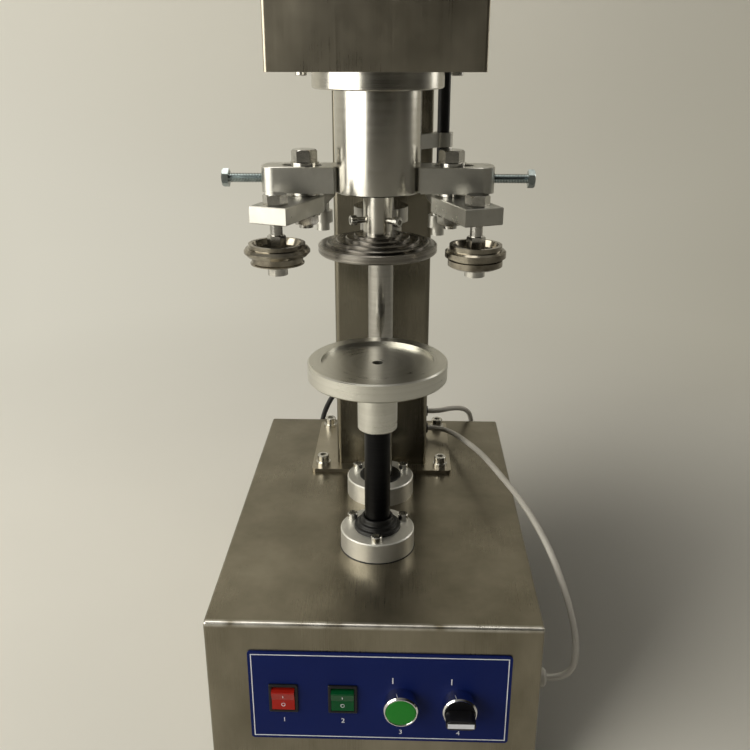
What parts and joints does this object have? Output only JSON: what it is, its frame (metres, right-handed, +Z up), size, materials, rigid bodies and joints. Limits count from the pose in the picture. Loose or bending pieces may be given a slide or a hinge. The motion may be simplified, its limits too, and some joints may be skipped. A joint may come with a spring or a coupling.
{
  "type": "can seamer",
  "caption": "Benchtop electric can seamer: a turning chuck over a can lift, with seaming rolls on cam-driven levers, on a column and a sheet-metal base.",
  "frame": {"origin": "on the floor, under the middle of the base and its rear glands and front controls", "axes": "+Z up, the control panel faces -Y, +X to the right seen from the front"},
  "size_m": [0.3292, 0.503, 0.84],
  "materials": {
    "stainless_sheet": "brushed",
    "machined_steel": "turned",
    "tool_steel": "turned, dark",
    "aluminium": "turned",
    "screw_steel": "satin",
    "zinc_plated": "zinc plated",
    "black_steel": "black oxide",
    "bronze": "satin",
    "rubber": "matte",
    "panel_blue": "printed, satin",
    "black_plastic": "satin",
    "bezel_chrome": "polished",
    "red_plastic": "gloss",
    "green_plastic": "gloss",
    "motor_paint": "satin",
    "grey_cable": "matte",
    "black_cable": "matte"
  },
  "bodies": {
    "frame": {"base_housing": "stainless_sheet", "base_bottom_plate": "stainless_sheet", "rubber_feet": "rubber", "control_panel_plate": "panel_blue", "power_rocker_frame": "black_plastic", "head_rocker_frame": "black_plastic", "jog_button_bezel": "bezel_chrome", "selector_bezel": "bezel_chrome", "column_base_plate": "stainless_sheet", "column_plate_screws": "screw_steel", "column_tube": "stainless_sheet", "bearing_flanges": "aluminium", "flange_screws": "screw_steel", "shaft_bushes": "bronze", "shaft_seals": "rubber", "lift_lever_bracket": "machined_steel", "gear_motor": "motor_paint", "head_cover": "stainless_sheet", "head_base_plate": "machined_steel", "spindle_housing": "machined_steel", "spindle_bearings": "machined_steel", "head_motor": "motor_paint", "drive_belt": "rubber", "slide_arms": "machined_steel", "lever_sensor": "black_plastic", "sensor_clip": "aluminium", "column_grommets": "black_plastic", "side_cable_gland": "black_plastic", "rear_cable_glands": "black_plastic", "head_cable": "grey_cable", "rear_cable": "grey_cable", "black_cable": "black_cable"},
    "spindle": {"spindle_shaft": "machined_steel", "chuck": "tool_steel", "chuck_clamp_screws": "screw_steel", "spindle_pulley": "aluminium"},
    "motor_rotor": {"motor_pulley": "aluminium"},
    "camshaft": {"cam_shaft": "machined_steel", "seaming_cam": "machined_steel", "lift_cam": "machined_steel"},
    "left_slider": {"left_pivot_bolt": "zinc_plated", "left_adjusting_screw": "zinc_plated"},
    "right_slider": {"right_pivot_bolt": "zinc_plated", "right_adjusting_screw": "zinc_plated"},
    "left_lever": {"left_seaming_lever": "machined_steel", "left_roll_axle": "zinc_plated"},
    "right_lever": {"right_seaming_lever": "machined_steel", "right_roll_axle": "zinc_plated"},
    "left_follower": {"left_cam_follower": "machined_steel"},
    "right_follower": {"right_cam_follower": "machined_steel"},
    "left_roll": {"left_seaming_roll": "tool_steel"},
    "right_roll": {"right_seaming_roll": "tool_steel"},
    "lift": {"lift_shaft": "black_steel"},
    "turntable": {"lift_plate": "aluminium"},
    "lift_rocker": {"lift_lever": "machined_steel"},
    "power_rocker": {"power_rocker_cap": "red_plastic"},
    "head_rocker": {"head_rocker_cap": "green_plastic"},
    "jog_button": {"jog_button_cap": "green_plastic"},
    "selector": {"selector_knob": "black_plastic"}
  },
  "joints": [
    {"name": "spindle_turn", "type": "hinge", "parent": "frame", "child": "spindle", "pos_m": [0, -0.084, 0.55], "axis": [0, 0, 1], "continuous": true},
    {"name": "motor_turn", "type": "hinge", "parent": "frame", "child": "motor_rotor", "pos_m": [0, 0.076, 0.66], "axis": [0, 0, 1], "continuous": true},
    {"name": "camshaft_turn", "type": "hinge", "parent": "frame", "child": "camshaft", "pos_m": [0, 0.022, 0.4], "axis": [0, 0, 1], "continuous": true},
    {"name": "lift_rise", "type": "slide", "parent": "frame", "child": "lift", "axis": [0, 0, 1], "range_m": [0, 0.02]},
    {"name": "table_turn", "type": "hinge", "parent": "lift", "child": "turntable", "pos_m": [0, -0.084, 0.35], "axis": [0, 0, 1], "continuous": true},
    {"name": "lift_rocker_tilt", "type": "hinge", "parent": "frame", "child": "lift_rocker", "pos_m": [0, -0.044, 0.152], "axis": [-1, 0, 0], "range_deg": [0, 30.5]},
    {"name": "power_rocker_tilt", "type": "hinge", "parent": "frame", "child": "power_rocker", "pos_m": [-0.077, -0.2085, 0.125], "axis": [-1, 0, 0], "range_deg": [0, 18]},
    {"name": "head_rocker_tilt", "type": "hinge", "parent": "frame", "child": "head_rocker", "pos_m": [-0.026, -0.2085, 0.125], "axis": [-1, 0, 0], "range_deg": [0, 18]},
    {"name": "jog_button_press", "type": "slide", "parent": "frame", "child": "jog_button", "axis": [0, 1, 0], "range_m": [0, 0.004], "stiffness_N_per_m": 500},
    {"name": "selector_turn", "type": "hinge", "parent": "frame", "child": "selector", "pos_m": [0.074, -0.2115, 0.123], "axis": [0, 1, 0], "range_deg": [0, 90]},
    {"name": "left_adjust", "type": "slide", "parent": "frame", "child": "left_slider", "axis": [1, 0, 0], "range_m": [-0.006, 0.005]},
    {"name": "left_swing", "type": "hinge", "parent": "left_slider", "child": "left_lever", "pos_m": [-0.06, -0.084, 0.527], "axis": [0, 0, 1], "range_deg": [0, 24.5], "stiffness_Nm_per_rad": 1},
    {"name": "left_follower_turn", "type": "hinge", "parent": "left_lever", "child": "left_follower", "pos_m": [-0.053, -0.006, 0.51], "axis": [0, 0, 1], "continuous": true},
    {"name": "left_roll_turn", "type": "hinge", "parent": "left_lever", "child": "left_roll", "pos_m": [-0.0785, -0.131, 0.49], "axis": [0, 0, 1], "continuous": true},
    {"name": "right_adjust", "type": "slide", "parent": "frame", "child": "right_slider", "axis": [-1, 0, 0], "range_m": [-0.006, 0.005]},
    {"name": "right_swing", "type": "hinge", "parent": "right_slider", "child": "right_lever", "pos_m": [0.06, -0.084, 0.527], "axis": [0, 0, -1], "range_deg": [0, 24.5], "stiffness_Nm_per_rad": 1},
    {"name": "right_follower_turn", "type": "hinge", "parent": "right_lever", "child": "right_follower", "pos_m": [0.053, -0.006, 0.51], "axis": [0, 0, 1], "continuous": true},
    {"name": "right_roll_turn", "type": "hinge", "parent": "right_lever", "child": "right_roll", "pos_m": [0.0785, -0.131, 0.49], "axis": [0, 0, 1], "continuous": true}
  ],
  "couplings": [
    {"joint": "motor_turn", "follows": "spindle_turn", "ratio": 1.5},
    {"joint": "lift_rocker_tilt", "follows": "lift_rise", "rad_per_m": 26.18}
  ]
}
